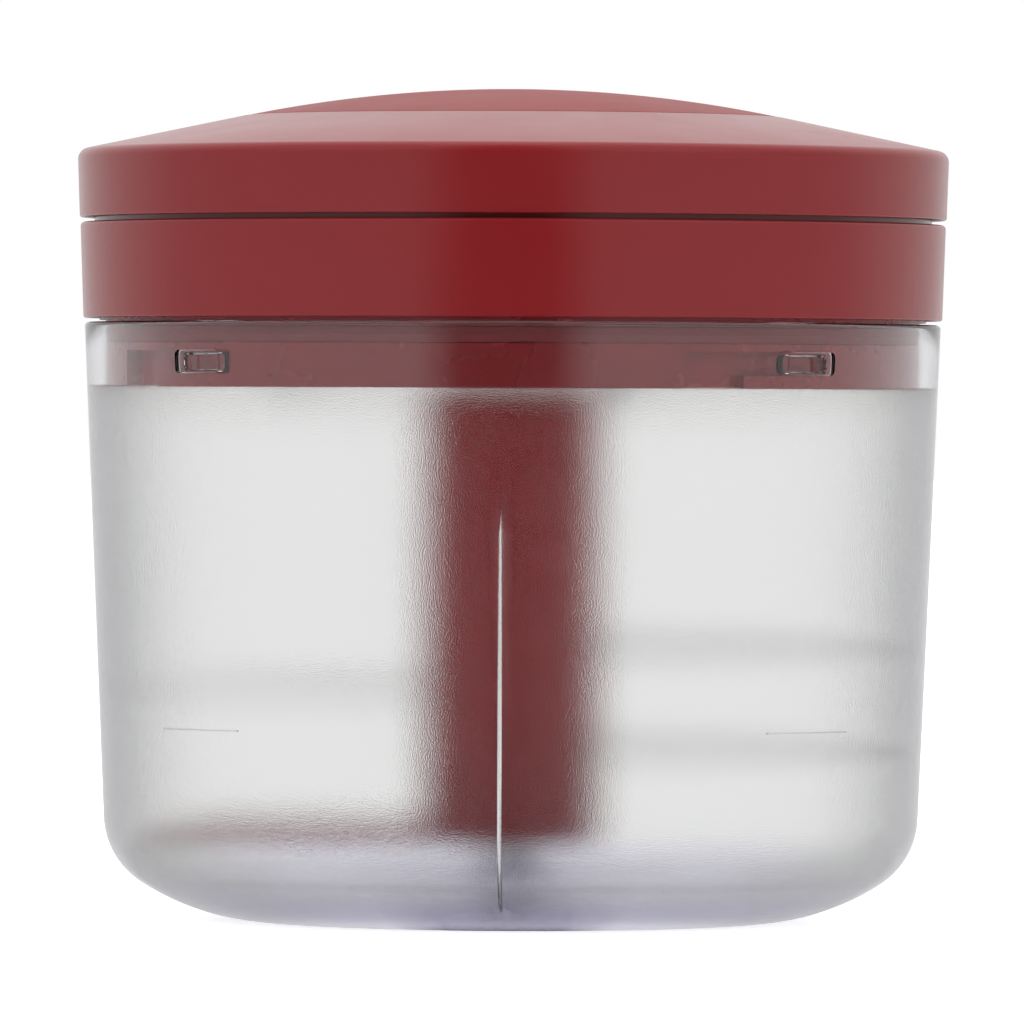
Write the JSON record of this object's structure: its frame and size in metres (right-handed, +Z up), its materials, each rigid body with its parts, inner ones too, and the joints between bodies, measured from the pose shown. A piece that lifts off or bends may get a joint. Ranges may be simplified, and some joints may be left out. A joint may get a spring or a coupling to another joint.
{
  "type": "plunger food chopper",
  "caption": "Press-down food chopper: clear bowl with a bayonet lid, a press cap that turns a bladed column through a twisted rod, and a turn-to-lock palm disc.",
  "frame": {"origin": "centre of the bowl's foot, on the surface that it stands on", "axes": "+Z up along the column, -Y towards the viewer of the picture"},
  "size_m": [0.1308, 0.1308, 0.125],
  "materials": {
    "bowl_plastic": "clear plastic, polished outside and at the rim, frosted inside",
    "lid_plastic": "glossy red moulding",
    "disc_plastic": "red with a fine matte grain",
    "column_plastic": "red moulding",
    "inner_plastic": "natural white engineering plastic",
    "blade_steel": "ground stainless steel",
    "hardware_steel": "plain steel",
    "seal_rubber": "soft red silicone"
  },
  "bodies": {
    "bowl": {"bowl": "bowl_plastic", "pivot_pin": "hardware_steel"},
    "blade_unit": {"blade_column": "column_plastic", "column_bush": "inner_plastic", "blade_lower": "blade_steel", "blade_middle": "blade_steel", "blade_upper": "blade_steel", "mixing_paddle": "column_plastic", "drive_socket": "inner_plastic"},
    "lid_seal": {"lid_seal": "seal_rubber"},
    "lid": {"lid_body": "lid_plastic", "lid_band": "lid_plastic", "bearing_plate": "inner_plastic", "plate_screws": "hardware_steel", "ratchet_spring": "hardware_steel", "return_spring": "hardware_steel"},
    "drive_hub": {"drive_hub": "inner_plastic"},
    "drive_nut": {"drive_nut": "inner_plastic"},
    "plunger": {"plunger_frame": "inner_plastic", "plunger_cap": "lid_plastic", "drive_rod": "hardware_steel", "rod_screw": "hardware_steel", "frame_screws": "hardware_steel"},
    "lock": {"palm_disc": "disc_plastic", "lock_ring": "inner_plastic", "lock_screws": "hardware_steel"}
  },
  "joints": [
    {"name": "lid_lift", "type": "slide", "parent": "bowl", "child": "lid_seal", "axis": [0, 0, 1], "range_m": [0, 0.08]},
    {"name": "lid_twist", "type": "hinge", "parent": "lid_seal", "child": "lid", "pos_m": [0, 0, 0.09], "axis": [0, 0, 1], "range_deg": [0, 15]},
    {"name": "plunger_press", "type": "slide", "parent": "lid", "child": "plunger", "axis": [0, 0, 1], "range_m": [0, 0.02], "deforming": ["return_spring"]},
    {"name": "lock_turn", "type": "hinge", "parent": "plunger", "child": "lock", "pos_m": [0, 0, 0.12], "axis": [0, 0, 1], "range_deg": [0, 30]},
    {"name": "nut_spin", "type": "hinge", "parent": "lid", "child": "drive_nut", "pos_m": [0, 0, 0.088], "axis": [0, 0, 1], "range_deg": [-300, 0]},
    {"name": "hub_spin", "type": "hinge", "parent": "lid", "child": "drive_hub", "pos_m": [0, 0, 0.081], "axis": [0, 0, 1], "range_deg": [-300, 0]},
    {"name": "blade_spin", "type": "hinge", "parent": "bowl", "child": "blade_unit", "pos_m": [0, 0, 0.02], "axis": [0, 0, 1], "range_deg": [-300, 0]}
  ],
  "couplings": [
    {"joint": "nut_spin", "follows": "plunger_press", "rad_per_m": -261.8},
    {"joint": "hub_spin", "follows": "plunger_press", "rad_per_m": -261.8},
    {"joint": "blade_spin", "follows": "plunger_press", "rad_per_m": -261.8}
  ]
}
